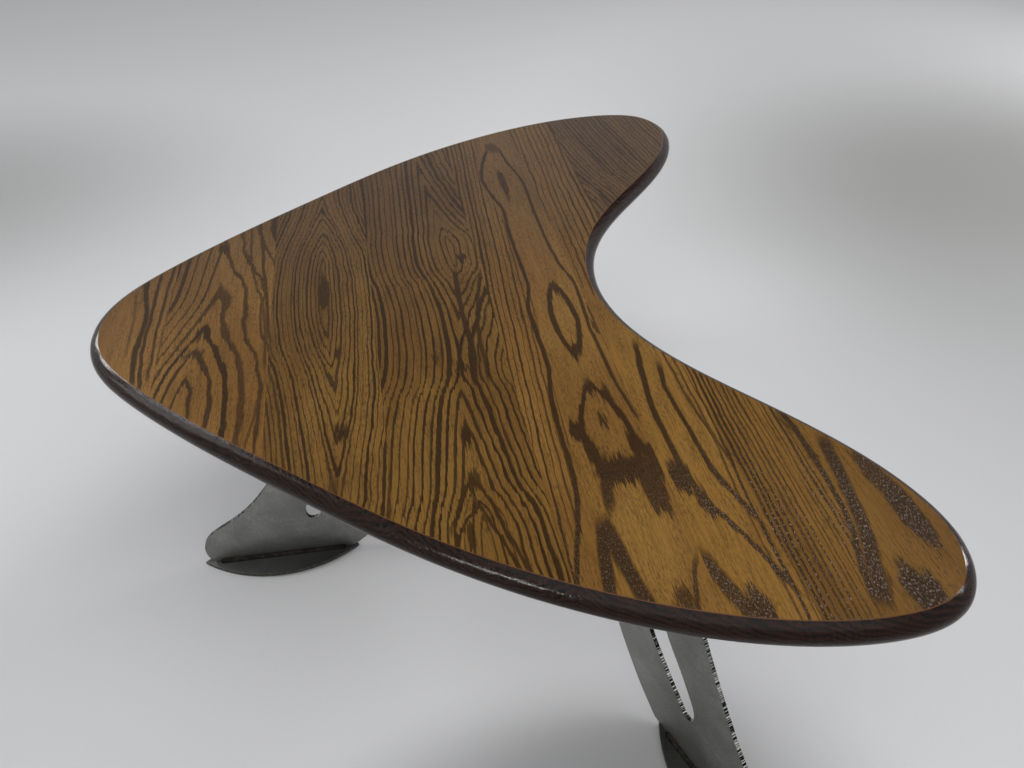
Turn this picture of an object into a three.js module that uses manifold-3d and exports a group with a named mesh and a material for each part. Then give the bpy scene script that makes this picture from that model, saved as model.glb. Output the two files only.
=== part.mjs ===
// A boomerang-shaped coffee table: a top of edge-glued hardwood boards on three plate-steel legs.
// Units are millimetres. X is the mirror line of the top, with the apex at -X and the notch at +X.
// The two arms reach to -Y (near) and +Y (far). Z is up and the floor is z = 0.
import * as THREE from 'three';
import { mergeVertices } from 'three/addons/utils/BufferGeometryUtils.js';
import Module from 'manifold-3d';

const wasm = await Module();
wasm.setup();

// ---- Driving dimensions ----
const TABLE_HEIGHT = 430;
const TOP_THICKNESS = 28;
const EDGE_REACH = 12; // how far the bullnose stands out past the flat of the top
const EDGE_DROP = 13.5; // height of each of the bullnose's two curves
const EDGE_STEPS = 4;
const GAP = 0.3; // clearance left between pieces that touch

// Half of the flat's outline, as the control points of a closed cubic B-spline, from apex to notch.
const HALF_OUTLINE = [
  [-400, 0], [-387, 56], [-347, 110], [-259, 197], [-164, 277], [-69, 358], [31, 426], [146, 481],
  [242, 508], [322, 514], [378, 500], [401, 446], [388, 388], [359, 330], [311, 265], [261, 206],
  [219, 146], [194, 92], [182, 45], [178, 0],
];
const OUTLINE_STEPS = 4; // spans drawn between neighbouring control points

// Glue lines, as the x where each crosses the mirror line; the boards lean a little off +Y.
const SEAM_X = [-322, -203, -85, 52, 164, 234];
const BOARD_LEAN = THREE.MathUtils.degToRad(1.7);
const BISCUIT = { length: 56, width: 23, thickness: 4, corner: 7 };
// Where each seam's biscuits sit, measured along the seam from the mirror line.
const BISCUITS_ON_SEAM = [[0], [-120, 120], [-180, 180], [-310, -110, 110, 310],
  [-370, -110, 110, 370], [-330, 330]];

// The lens-shaped steel plate used both as the foot and, upside down, as the mount under the top.
const LENS_LENGTH = 222;
const LENS_WIDTH = 76;
const LENS_THICKNESS = 6;
const FELT_THICKNESS = 2;
const FELT_INSET = 3;
const LEG_THICKNESS = 5;
const WELD_LEG = 5;
const WELD_START = 18; // from the foot's inner tip, where the lens is wide enough for the bead
const WELD_STOP = 6; // short of the leg plate's ends

// Legs. Each stands at x, y and faces along its bearing, in degrees from +X. s runs outward along
// the leg from there, and z up from the floor. footShift is where the foot's inner tip lies on s.
const MOUNT_CENTRE_S = -95;
const LEGS = {
  apex: { x: -154, y: 0, bearing: 180, footShift: 0 },
  near: { x: 204, y: -331, bearing: -68, footShift: 12 },
  far: { x: 204, y: 331, bearing: 68, footShift: 12 },
};
const PLATE_BOTTOM_Z = FELT_THICKNESS + LENS_THICKNESS + GAP;
const UNDERSIDE_Z = TABLE_HEIGHT - TOP_THICKNESS;
const PLATE_TOP_Z = UNDERSIDE_Z - LENS_THICKNESS - GAP;
const PLATE_OUTER_EDGE = [[213, 17], [216, 34], [212, 51], [202, 65], [186, 77], [166, 90],
  [146, 106], [126, 127], [106, 153], [85, 182], [52, 232], [27, 282], [8, 330], [-8, 370]];
const PLATE_INNER_EDGE = [[-172, 365], [-159, 310], [-142, 250], [-124, 195], [-104, 145],
  [-80, 101], [-54, 67], [-28, 38], [-7, 19]];
const FOOT_TOE_S = 206;
const FOOT_HEEL_S = 6;
const MOUNT_TOE_S = -15;
const MOUNT_HEEL_S = -175;
const SLOT_OUTER_EDGE = [[64, 92], [59, 107], [33, 141], [3, 176], [-25, 221], [-48, 266]];
const SLOT_INNER_EDGE = [[-84, 281], [-75, 243], [-55, 197], [-26, 153], [8, 116], [40, 86]];
const SLOT_TOP = [[-66, 304], [-78, 308], [-87, 300]];
const SLOT_BOTTOM = [[50, 78], [61, 79]];

// Screws: button heads under the mount plate, driven up into the boards.
const SCREW = { shank: 2.5, head: 5.5, headHeight: 3.2, bite: 16, sides: 10 };
const SCREW_HOLE = SCREW.shank + GAP;
const SCREW_END_S = 92; // from the mount's centre, beyond the plate's ends
const SCREW_SIDE = 24; // off the plate, to each side

// ---- Materials ----
const material = (color, roughness, metalness) =>
  new THREE.MeshStandardMaterial({ color, roughness, metalness });
const STAINED_WOOD = material(0x6b4420, 0.35, 0);
const BEECH = material(0xc9a777, 0.8, 0);
const GROUND_STEEL = material(0x5a5b59, 0.5, 0.9);
const WELD_STEEL = material(0x4a4743, 0.6, 0.9);
const BLACK_STEEL = material(0x1d1d1f, 0.45, 0.8);
const GREY_FELT = material(0x55524e, 0.95, 0);

// ---- Solids ----
function toSolid(geometry) {
  geometry.deleteAttribute('normal');
  geometry.deleteAttribute('uv');
  const welded = mergeVertices(geometry, 1e-4);
  return new wasm.Manifold(new wasm.Mesh({
    numProp: 3,
    vertProperties: new Float32Array(welded.attributes.position.array),
    triVerts: new Uint32Array(welded.index.array),
  }));
}

function toGeometry(solid) {
  const mesh = solid.getMesh();
  const geometry = new THREE.BufferGeometry();
  geometry.setAttribute('position', new THREE.BufferAttribute(mesh.vertProperties, 3));
  geometry.setIndex(new THREE.BufferAttribute(mesh.triVerts, 1));
  geometry.computeVertexNormals();
  return geometry;
}

function box(width, depth, height, matrix) {
  return toSolid(new THREE.BoxGeometry(width, depth, height).applyMatrix4(matrix));
}

function moved(x, y, z, turn = 0) {
  return new THREE.Matrix4().makeRotationZ(turn).setPosition(x, y, z);
}

// ---- Outlines ----
function closedSpline(points, steps) {
  const count = points.length;
  const curve = [];
  for (let i = 0; i < count; i += 1) {
    const [a, b, c, d] = [-1, 0, 1, 2].map((k) => points[(i + k + count) % count]);
    for (let j = 0; j < steps; j += 1) {
      const t = j / steps;
      const weights = [(1 - t) ** 3, 3 * t ** 3 - 6 * t ** 2 + 4,
        -3 * t ** 3 + 3 * t ** 2 + 3 * t + 1, t ** 3];
      const blend = (axis) =>
        [a, b, c, d].reduce((sum, point, k) => sum + (weights[k] * point[axis]) / 6, 0);
      curve.push(new THREE.Vector2(blend(0), blend(1)));
    }
  }
  return curve;
}

function topOutline() {
  const mirrored = HALF_OUTLINE.slice(1, -1).reverse().map(([x, y]) => [x, -y]);
  return closedSpline([...HALF_OUTLINE, ...mirrored], OUTLINE_STEPS).reverse();
}

// Two equal arcs that meet in a point at each end, from s = inset to s = LENS_LENGTH - inset.
function lensShape(inset = 0) {
  const half = LENS_LENGTH / 2 - inset;
  const bulge = LENS_WIDTH / 2 - inset;
  const radius = (half ** 2 + bulge ** 2) / (2 * bulge);
  const spread = Math.asin(half / radius);
  const shape = new THREE.Shape();
  const centre = LENS_LENGTH / 2;
  shape.absarc(centre, bulge - radius, radius, Math.PI / 2 - spread, Math.PI / 2 + spread, false);
  shape.absarc(centre, radius - bulge, radius, 1.5 * Math.PI - spread, 1.5 * Math.PI + spread, false);
  return shape;
}

function smoothed(points, count) {
  const curve = new THREE.SplineCurve(points.map(([x, y]) => new THREE.Vector2(x, y)));
  return curve.getPoints(count);
}

// ---- Top ----
function slab() {
  const geometry = new THREE.ExtrudeGeometry(new THREE.Shape(topOutline()), {
    depth: TOP_THICKNESS - 2 * EDGE_DROP,
    bevelThickness: EDGE_DROP,
    bevelSize: EDGE_REACH,
    bevelSegments: EDGE_STEPS,
  });
  geometry.translate(0, 0, UNDERSIDE_Z + EDGE_DROP);
  return toSolid(geometry);
}

function seamPoint(seamX, along) {
  return [seamX - along * Math.sin(BOARD_LEAN), along * Math.cos(BOARD_LEAN)];
}

function biscuitShape(margin) {
  const { length, width, corner } = BISCUIT;
  const halfLength = length / 2 + margin;
  const halfWidth = width / 2 + margin;
  return new THREE.Shape([
    [-halfWidth + corner, -halfLength], [halfWidth - corner, -halfLength],
    [halfWidth, -halfLength / 2], [halfWidth, halfLength / 2],
    [halfWidth - corner, halfLength], [-halfWidth + corner, halfLength],
    [-halfWidth, halfLength / 2], [-halfWidth, -halfLength / 2],
  ].map(([x, y]) => new THREE.Vector2(x, y)));
}

function biscuitGeometry(seamX, along, margin = 0) {
  const depth = BISCUIT.thickness + 2 * margin;
  const geometry = new THREE.ExtrudeGeometry(biscuitShape(margin), { depth, bevelEnabled: false });
  const middle = UNDERSIDE_Z + TOP_THICKNESS / 2;
  const [x, y] = seamPoint(seamX, along);
  return geometry.applyMatrix4(moved(x, y, middle - depth / 2, BOARD_LEAN));
}

function screwCentres(leg) {
  const places = [[-SCREW_END_S, 0], [0, -SCREW_SIDE], [0, SCREW_SIDE], [SCREW_END_S, 0]];
  const along = new THREE.Vector2(1, 0).rotateAround(new THREE.Vector2(), legTurn(leg));
  return places.map(([end, side]) => {
    const s = MOUNT_CENTRE_S + end;
    return [leg.x + s * along.x - side * along.y, leg.y + s * along.y + side * along.x];
  });
}

function legTurn(leg) {
  return THREE.MathUtils.degToRad(leg.bearing);
}

function pilotHole([x, y]) {
  const depth = SCREW.bite + GAP;
  const bore = new THREE.CylinderGeometry(SCREW_HOLE, SCREW_HOLE, depth + 1, SCREW.sides);
  bore.rotateX(Math.PI / 2);
  return toSolid(bore.applyMatrix4(moved(x, y, UNDERSIDE_Z + (depth - 1) / 2)));
}

function strip(from, to, lowY, highY) {
  const length = highY - lowY;
  const along = (lowY + highY) / 2;
  const [x, y] = seamPoint((from + to) / 2, along);
  const middle = UNDERSIDE_Z + TOP_THICKNESS / 2;
  return box(to - from, length, 2 * TOP_THICKNESS, moved(x, y, middle, BOARD_LEAN));
}

function addTop(table) {
  let blank = slab();
  SEAM_X.forEach((x, seam) => BISCUITS_ON_SEAM[seam].forEach((along, i) => {
    blank = blank.subtract(toSolid(biscuitGeometry(x, along, GAP)));
    const biscuit = new THREE.Mesh(biscuitGeometry(x, along), BEECH);
    biscuit.name = `biscuit_${seam + 1}_${i + 1}`;
    table.add(biscuit);
  }));
  for (const leg of Object.values(LEGS)) {
    for (const centre of screwCentres(leg)) blank = blank.subtract(pilotHole(centre));
  }
  const reach = 600;
  const edges = [-reach, ...SEAM_X, reach];
  for (let i = 0; i < edges.length - 1; i += 1) {
    const from = edges[i] + GAP / 2;
    const to = edges[i + 1] - GAP / 2;
    const isLast = i === edges.length - 2;
    const parts = isLast ? { _near: [-reach, 0], _far: [0, reach] } : { '': [-reach, reach] };
    for (const [suffix, [lowY, highY]] of Object.entries(parts)) {
      const board = new THREE.Mesh(
        toGeometry(blank.intersect(strip(from, to, lowY, highY))), STAINED_WOOD);
      board.name = `board_${i + 1}${suffix}`;
      table.add(board);
    }
  }
}

// ---- Legs ----
// Everything in a leg is drawn in its own upright plane: x is s, y is across and z is up.
function upright(shape, thickness) {
  const geometry = new THREE.ExtrudeGeometry(shape, { depth: thickness, bevelEnabled: false });
  return geometry.rotateX(Math.PI / 2).translate(0, thickness / 2, 0);
}

function legPlate() {
  const outline = smoothed([[FOOT_TOE_S, PLATE_BOTTOM_Z], ...PLATE_OUTER_EDGE,
    [MOUNT_TOE_S, PLATE_TOP_Z]], 44)
    .concat(smoothed([[MOUNT_HEEL_S, PLATE_TOP_Z], ...PLATE_INNER_EDGE,
      [FOOT_HEEL_S, PLATE_BOTTOM_Z]], 30));
  const shape = new THREE.Shape(outline);
  const ring = [...SLOT_OUTER_EDGE, ...SLOT_TOP, ...SLOT_INNER_EDGE, ...SLOT_BOTTOM, SLOT_OUTER_EDGE[0]];
  shape.holes.push(new THREE.Path(smoothed(ring, 48).slice(0, -1)));
  return upright(shape, LEG_THICKNESS);
}

function lensPlate(z, shift, inset, thickness) {
  const geometry = new THREE.ExtrudeGeometry(lensShape(inset),
    { depth: thickness, bevelEnabled: false, curveSegments: 8 });
  return geometry.translate(shift, 0, z);
}

function mountPlate() {
  const shift = MOUNT_CENTRE_S - LENS_LENGTH / 2;
  let plate = toSolid(lensPlate(UNDERSIDE_Z - LENS_THICKNESS, shift, 0, LENS_THICKNESS - GAP / 3));
  for (const [x, y] of screwCentres({ x: 0, y: 0, bearing: 0 })) {
    const bore = new THREE.CylinderGeometry(SCREW_HOLE, SCREW_HOLE, 3 * LENS_THICKNESS, SCREW.sides);
    bore.rotateX(Math.PI / 2);
    plate = plate.subtract(toSolid(bore.applyMatrix4(moved(x, y, UNDERSIDE_Z))));
  }
  return toGeometry(plate);
}

// A concave-faced fillet bead along the plate; side is +1 or -1, up is +1 at the foot, -1 at the mount.
function weldBead(from, to, z, side, up) {
  const inside = LEG_THICKNESS / 2 + GAP;
  const profile = [[0, 0], [WELD_LEG, 0], [WELD_LEG * 0.55, WELD_LEG * 0.3],
    [WELD_LEG * 0.3, WELD_LEG * 0.55], [0, WELD_LEG]];
  const corners = profile.map(([out, rise]) => new THREE.Vector2(side * (inside + out), up * rise));
  const shape = new THREE.Shape(corners);
  const geometry = new THREE.ExtrudeGeometry(shape, { depth: to - from, bevelEnabled: false });
  const basis = new THREE.Matrix4().makeBasis(new THREE.Vector3(0, 1, 0), new THREE.Vector3(0, 0, 1),
    new THREE.Vector3(1, 0, 0));
  return geometry.applyMatrix4(basis).translate(from, 0, z + up * GAP);
}

function screw([x, y]) {
  const headTop = UNDERSIDE_Z - LENS_THICKNESS - GAP / 3;
  const { shank, head, headHeight, bite, sides } = SCREW;
  const profile = [[0, -headHeight], [head * 0.6, -headHeight], [head, -headHeight * 0.45],
    [head, -GAP / 3], [shank, -GAP / 3], [shank, LENS_THICKNESS + bite - 4],
    [0, LENS_THICKNESS + bite]].map(([r, h]) => new THREE.Vector2(r, h));
  return new THREE.LatheGeometry(profile, sides).rotateX(Math.PI / 2).translate(x, y, headTop);
}

function addLeg(table, name, leg) {
  const group = new THREE.Group();
  const add = (piece, geometry, finish) => {
    const mesh = new THREE.Mesh(geometry, finish);
    mesh.name = `${name}_${piece}`;
    group.add(mesh);
  };
  add('leg_plate', legPlate(), GROUND_STEEL);
  add('foot_plate', lensPlate(FELT_THICKNESS + GAP / 3, leg.footShift, 0, LENS_THICKNESS - GAP / 3),
    GROUND_STEEL);
  add('foot_felt', lensPlate(0, leg.footShift, FELT_INSET, FELT_THICKNESS), GREY_FELT);
  add('mount_plate', mountPlate(), GROUND_STEEL);
  const footZ = PLATE_BOTTOM_Z - GAP;
  const mountZ = PLATE_TOP_Z + GAP;
  for (const [hand, side] of [['left', 1], ['right', -1]]) {
    add(`foot_weld_${hand}`, weldBead(leg.footShift + WELD_START, FOOT_TOE_S - WELD_STOP, footZ,
      side, 1), WELD_STEEL);
    add(`mount_weld_${hand}`, weldBead(MOUNT_HEEL_S + WELD_STOP, MOUNT_TOE_S - WELD_STOP, mountZ,
      side, -1), WELD_STEEL);
  }
  screwCentres({ x: 0, y: 0, bearing: 0 }).forEach((centre, i) => {
    add(`screw_${i + 1}`, screw(centre), BLACK_STEEL);
  });
  group.rotation.z = legTurn(leg);
  group.position.set(leg.x, leg.y, 0);
  table.add(group);
}

const table = new THREE.Group();
addTop(table);
for (const [name, leg] of Object.entries(LEGS)) addLeg(table, name, leg);

export default table;
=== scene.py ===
"""Looks for a boomerang-shaped coffee table: stained hardwood boards on three plate-steel legs."""
import math

import bmesh
import bpy
import numpy as np
from mathutils import Matrix, Vector
from mathutils.geometry import tessellate_polygon


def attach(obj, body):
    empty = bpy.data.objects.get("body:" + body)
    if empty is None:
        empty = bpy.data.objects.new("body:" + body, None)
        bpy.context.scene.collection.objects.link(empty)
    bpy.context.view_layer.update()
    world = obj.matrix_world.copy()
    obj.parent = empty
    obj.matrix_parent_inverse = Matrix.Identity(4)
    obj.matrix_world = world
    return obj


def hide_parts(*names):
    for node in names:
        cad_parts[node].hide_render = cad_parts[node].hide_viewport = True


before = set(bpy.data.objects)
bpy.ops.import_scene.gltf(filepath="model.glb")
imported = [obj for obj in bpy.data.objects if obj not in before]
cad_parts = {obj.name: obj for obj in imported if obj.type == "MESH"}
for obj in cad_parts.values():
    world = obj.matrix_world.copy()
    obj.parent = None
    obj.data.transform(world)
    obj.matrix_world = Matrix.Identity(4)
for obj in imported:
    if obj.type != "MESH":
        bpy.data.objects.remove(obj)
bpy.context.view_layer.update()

MM = 0.001


def add_object(name, data):
    made = bpy.data.objects.new(name, data)
    bpy.context.scene.collection.objects.link(made)
    return made


# ---- Camera ----
CAMERA_AT = Vector((-0.0418, -0.8614, 0.990))
CAMERA_HEADING = math.radians(8.106)  # clockwise from +Y, seen from above
CAMERA_PITCH = math.radians(39.128)  # below the horizon
CAMERA_ROLL = math.radians(0.893)
CAMERA_LENS = 29.88  # mm on a 36 mm sensor

heading = Vector((math.sin(CAMERA_HEADING), math.cos(CAMERA_HEADING), 0))
right = Vector((math.cos(CAMERA_HEADING), -math.sin(CAMERA_HEADING), 0))
forward = math.cos(CAMERA_PITCH) * heading - math.sin(CAMERA_PITCH) * Vector((0, 0, 1))
down = forward.cross(right)
side_axis = math.cos(CAMERA_ROLL) * right + math.sin(CAMERA_ROLL) * down
up_axis = math.sin(CAMERA_ROLL) * right - math.cos(CAMERA_ROLL) * down
camera_data = bpy.data.cameras.new("camera")
camera_data.lens = CAMERA_LENS
camera_data.sensor_width = 36
camera_data.clip_start = 0.05
camera_data.clip_end = 60
camera = add_object("camera", camera_data)
rotation = Matrix((side_axis, up_axis, -forward)).transposed().to_4x4()
camera.matrix_world = Matrix.Translation(CAMERA_AT) @ rotation
bpy.context.scene.camera = camera


# ---- Shader building ----
def colour(red, green, blue):
    """An sRGB colour, each part 0 to 255, as the linear RGBA that Blender takes."""
    parts = []
    for value in (red, green, blue):
        value /= 255
        parts.append(value / 12.92 if value <= 0.04045 else ((value + 0.055) / 1.055) ** 2.4)
    return (*parts, 1)


class Field:
    """A value in a node tree, with arithmetic that adds Math nodes."""

    def __init__(self, tree, socket):
        self.tree = tree
        self.socket = socket

    def math(self, operation, *values, clamp=False):
        node = self.tree.nodes.new("ShaderNodeMath")
        node.operation = operation
        node.use_clamp = clamp
        for index, value in enumerate(values):
            feed(self.tree, node.inputs[index], value)
        return Field(self.tree, node.outputs[0])

    def __add__(self, other):
        return self.math("ADD", self, other)

    def __sub__(self, other):
        return self.math("SUBTRACT", self, other)

    def __rsub__(self, other):
        return self.math("SUBTRACT", other, self)

    def __mul__(self, other):
        return self.math("MULTIPLY", self, other)

    def __truediv__(self, other):
        return self.math("DIVIDE", self, other)

    def __pow__(self, other):
        return self.math("POWER", self, other)

    __radd__ = __add__
    __rmul__ = __mul__

    def fract(self):
        return self.math("FRACT", self)

    def floor(self):
        return self.math("FLOOR", self)

    def sqrt(self):
        return self.math("SQRT", self)

    def size(self):
        return self.math("ABSOLUTE", self)

    def above(self, other):
        return self.math("MAXIMUM", self, other)

    def below(self, other):
        return self.math("MINIMUM", self, other)

    def step(self, low, high):
        """0 at low and 1 at high, smooth between; low may be the larger."""
        node = self.tree.nodes.new("ShaderNodeMapRange")
        node.interpolation_type = "SMOOTHSTEP"
        feed(self.tree, node.inputs["Value"], self)
        swapped = low > high
        node.inputs["From Min"].default_value = min(low, high)
        node.inputs["From Max"].default_value = max(low, high)
        node.inputs["To Min"].default_value = 1 if swapped else 0
        node.inputs["To Max"].default_value = 0 if swapped else 1
        return Field(self.tree, node.outputs[0])


def feed(tree, socket, value):
    if isinstance(value, Field):
        tree.links.new(value.socket, socket)
    else:
        socket.default_value = value


class Shader:
    """One material, with helpers for the nodes that this script uses."""

    def __init__(self, name):
        self.material = bpy.data.materials.new(name)
        self.material.use_nodes = True
        self.tree = self.material.node_tree
        self.tree.nodes.clear()
        coordinates = self.tree.nodes.new("ShaderNodeTexCoord")
        split = self.tree.nodes.new("ShaderNodeSeparateXYZ")
        self.tree.links.new(coordinates.outputs["Object"], split.inputs[0])
        self.x, self.y, self.z = (Field(self.tree, out) * 1000 for out in split.outputs)

    def vector(self, x, y, z):
        node = self.tree.nodes.new("ShaderNodeCombineXYZ")
        for index, value in enumerate((x, y, z)):
            feed(self.tree, node.inputs[index], value)
        return Field(self.tree, node.outputs[0])

    def noise(self, x, y, z, detail=2.0, roughness=0.5, distortion=0.0):
        node = self.tree.nodes.new("ShaderNodeTexNoise")
        feed(self.tree, node.inputs["Vector"], self.vector(x, y, z))
        node.inputs["Scale"].default_value = 1
        node.inputs["Detail"].default_value = detail
        node.inputs["Roughness"].default_value = roughness
        node.inputs["Distortion"].default_value = distortion
        return Field(self.tree, node.outputs[0])

    def random(self, value):
        node = self.tree.nodes.new("ShaderNodeTexWhiteNoise")
        node.noise_dimensions = "1D"
        feed(self.tree, node.inputs["W"], value)
        return Field(self.tree, node.outputs["Value"])

    def curve(self, value, low, high, points, top):
        """A smooth curve through points, over value from low to high; the results are 0 to top."""
        node = self.tree.nodes.new("ShaderNodeFloatCurve")
        line = node.mapping.curves[0]
        spots = [((p - low) / (high - low), v / top) for p, v in sorted(points)]
        while len(line.points) < len(spots):
            line.points.new(0.5, 0.5)
        for point, spot in zip(line.points, spots):
            point.location = spot
            point.handle_type = "AUTO_CLAMPED"
        node.mapping.update()
        feed(self.tree, node.inputs["Value"], (value - low) / (high - low))
        return Field(self.tree, node.outputs[0]) * top

    def mix(self, factor, first, second, blend="MIX"):
        node = self.tree.nodes.new("ShaderNodeMix")
        node.data_type = "RGBA"
        node.blend_type = blend
        node.clamp_factor = True
        feed(self.tree, node.inputs[0], factor)
        feed(self.tree, node.inputs[6], first)
        feed(self.tree, node.inputs[7], second)
        return Field(self.tree, node.outputs[2])

    def bump(self, height, depth_mm, strength=1.0):
        node = self.tree.nodes.new("ShaderNodeBump")
        node.inputs["Strength"].default_value = strength
        node.inputs["Distance"].default_value = depth_mm * MM
        feed(self.tree, node.inputs["Height"], height)
        return Field(self.tree, node.outputs[0])

    def surface(self, **inputs):
        """Ends the material with a Principled BSDF. Names use _ for a space."""
        node = self.tree.nodes.new("ShaderNodeBsdfPrincipled")
        output = self.tree.nodes.new("ShaderNodeOutputMaterial")
        for name, value in inputs.items():
            feed(self.tree, node.inputs[name.replace("_", " ")], value)
        self.tree.links.new(node.outputs[0], output.inputs["Surface"])
        return self.material


# ---- Wood ----
TOP_Z = 430.0
THICKNESS = 28.0
UNDERSIDE_Z = TOP_Z - THICKNESS
BOARD_LEAN = math.radians(1.7)  # the boards lean this much off +Y
LEAN_SLOPE = 0.0297  # the tangent of that
GRAIN_REACH = 560.0  # the curves below run along y from minus this to this
GRAIN_SIDE = 500.0  # and their x values lie between minus this and this
MOST_RINGS = 14.0
STROKE_FADE = 12  # mm over which a stroke's end fades
LATEWOOD = colour(142, 104, 48)
LATEWOOD_RED = colour(122, 86, 37)
EARLYWOOD = colour(41, 25, 9)
FAR_PAINTED_SHADE = colour(68, 52, 44)  # painted shade and a painted grey sheen: the top goes darker and greyer towards the far tip
PORE_GLINT = colour(158, 144, 136)
EDGE_LIGHT = colour(46, 23, 14)
EDGE_DARK = colour(14, 8, 5)
# partly real wear, partly a painted highlight: the pale line along the arris
ARRIS_WEAR_AND_HIGHLIGHT = colour(140, 92, 54)
VARNISH_IOR = 1.45


def wood(name, edge, seed, middle, rings, left, right_side, pointed=1.6, wander=6.0, line=0.24,
         between=None, outside=0.1, strokes=(), blotches=(), tone=(1.0, 1.0, 1.0),
         glint=0.0):
    """Growth rings cut by a flat board, with a few listed lines and patches drawn on them.

    middle: where the pith runs, as (y, x). rings: how many rings deep it lies, as (y, rings).
    left and right_side: mm from ring to ring on each side of it. pointed: 1 for sharp arches, 2 for
    round ones. wander: how far the lines stray, in mm. line: the dark share of a ring. between: two
    curves of (y, x) that the ring lines stay between; outside is their strength elsewhere. strokes:
    dark lines as (half width, strength, (y, x), (y, x), ...). blotches: dark patches as (x, y, half
    width, half length, strength). tone: multiplies the pale wood's red, green and blue. glint: how
    much the pores in the near end's dark patches catch the light. edge: the darker, glossier stain
    of the rounded edge and the underside.
    """
    s = Shader(name)
    x, y, z = s.x, s.y, s.z
    across = x + y * LEAN_SLOPE
    depth = TOP_Z - z

    def along(value, points):
        leaned = [(p, v + LEAN_SLOPE * p + GRAIN_SIDE) for p, v in points]
        return s.curve(value, -GRAIN_REACH, GRAIN_REACH, leaned, 2 * GRAIN_SIDE) - GRAIN_SIDE

    # Unevenness, from broad to fine, all stretched along the grain.
    wide = s.noise(across / 75 + seed * 3.7, y / 210, z / 60 + seed, 2.0) - 0.5
    bend = s.noise(across / 24 + seed, y / 30, z / 30, 2.0) - 0.5
    fine = s.noise(across / 6 + seed * 1.3, y / 40, z / 12 + seed, 2.0) - 0.5
    fibre = s.noise(across / 1.3 + seed, y / 40, z / 1.5, 2.0, 0.6)
    patchy = s.noise(across / 11 + seed, y / 70, z / 9, 3.0)
    torn = y + (fibre - 0.5) * 20.0 + fine * 12.0
    shifted = across + bend * (0.8 * wander) + fine * 1.6

    # Ring lines: phase counts rings out from the pith, across the board and up to its face.
    away = shifted - along(torn, middle) + wide * (2.2 * wander)
    lateral = away.above(0.0) / right_side + (0.0 - away).above(0.0) / left
    lift = s.curve(torn, -GRAIN_REACH, GRAIN_REACH, rings, MOST_RINGS)
    tall = (lift + depth / (0.5 * (left + right_side)) + wide * 0.6 + bend * 0.4).above(0.01)
    phase = (lateral.above(0.001) ** pointed + tall ** pointed) ** (1 / pointed)
    uneven = s.noise(phase * 0.9 + seed * 5.1, 0.0, 0.0, 1.0) - 0.5
    phase = phase + uneven * 1.1
    place = phase.fract()
    which = s.random(phase.floor() + seed * 17.0)
    width = which * 0.22 + (line - 0.08) + (patchy - 0.5) * 0.30
    dark = place.step(0.0, 0.08) * (place - width).step(0.13, 0.0)
    dark = dark * (0.74 + 0.26 * which) * patchy.step(0.05, 0.30)
    if between:
        low, high = (across - along(y, side) for side in between)
        inside = low.step(-3.0, 3.0) * high.step(3.0, -3.0)
        dark = dark * (outside + (1 - outside) * inside)

    # Strokes and blotches, with torn and ragged outlines.
    for half_width, strength, *points in strokes:
        gap = (shifted - along(torn, points)).size() / half_width
        gap = gap + (patchy - 0.5) * 1.1
        start, stop = points[0][0], points[-1][0]
        ends = torn.step(start - STROKE_FADE, start + STROKE_FADE)
        ends = ends * torn.step(stop + STROKE_FADE, stop - STROKE_FADE)
        dark = dark.above(gap.step(1.65, 0.85) * ends * strength)
    ragged = s.noise(across / 9 + seed, torn / 40, z / 8, 3.0, 0.6) - 0.5
    for bx, by, half_width, half_length, strength in blotches:
        du = (across - (bx + LEAN_SLOPE * by)) / half_width
        dv = (torn + (fibre - 0.5) * 34.0 - by) / half_length
        shape = (du * du + dv * dv).sqrt() + ragged * 1.3
        dark = dark.above(shape.step(1.12, 0.82) * strength)

    # Pigment gathers in the dark lines, the pores and the fibres.
    pores = s.noise(across / 1.1, y / 7, z / 1.1, 2.0, 0.65)
    dots = pores.step(0.49, 0.58)
    streaks = fibre.step(0.46, 0.60)
    pigment = dark * (0.93 + 0.07 * dots)
    grain = 0.40 * dots * patchy.step(0.22, 0.62) + 0.24 * streaks
    pigment = (pigment + grain * (1.0 - pigment)).below(1.0)

    relief = (pigment + dots * 0.7) * -1.0
    if edge:
        layers = (depth / 3.6 + wide * 5.0 + bend * 1.6 + lateral * 0.35 + fine * 0.7).fract()
        layers = layers.step(0.0, 0.12) * layers.step(0.75, 0.35)
        layers = (layers * 0.6 + dark * 0.3 + 0.3 * dots + 0.15).below(1.0)
        paint = s.mix(layers, EDGE_LIGHT, EDGE_DARK)
        # A pale line along the arris: partly worn stain, partly a painted highlight where the arris
        # catches the light.
        worn = depth.step(0.42, 0.16) * (0.15 + 0.6 * fibre)
        paint = s.mix(worn, paint, ARRIS_WEAR_AND_HIGHLIGHT)
        return s.surface(Base_Color=paint, Roughness=0.07 + 0.08 * dots, IOR=VARNISH_IOR,
                         Specular_IOR_Level=0.18, Normal=s.bump(relief - layers, 0.09, 0.6))
    shade = s.noise(across / 120 + seed, y / 330, 0.0, 2.0)
    light = s.mix(shade.step(0.35, 0.68), LATEWOOD, LATEWOOD_RED)
    light = s.mix(1.0, light, (*tone, 1), "MULTIPLY")
    # Painted shade and a painted grey sheen, stronger towards the far end.
    light = s.mix(y.step(-200.0, 300.0) * 0.54, light, FAR_PAINTED_SHADE)
    face = s.mix(pigment, light, EARLYWOOD)
    # Painted glints: pale specks in the near end's dark patches, where the pores would catch the
    # light.
    if glint:
        painted_glints = s.noise(across / 0.9, y / 3, z, 1.0, 0.6).step(0.56, 0.66) * dark.step(0.6, 0.95)
        face = s.mix(painted_glints * y.step(-250.0, -420.0) * glint, face, PORE_GLINT)
    return s.surface(Base_Color=face, Roughness=0.34 + 0.12 * dots, IOR=VARNISH_IOR,
                     Specular_IOR_Level=0.20, Normal=s.bump(relief, 0.07, 0.6))


def straight(value):
    return [(-GRAIN_REACH, value), (GRAIN_REACH, value)]


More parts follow.
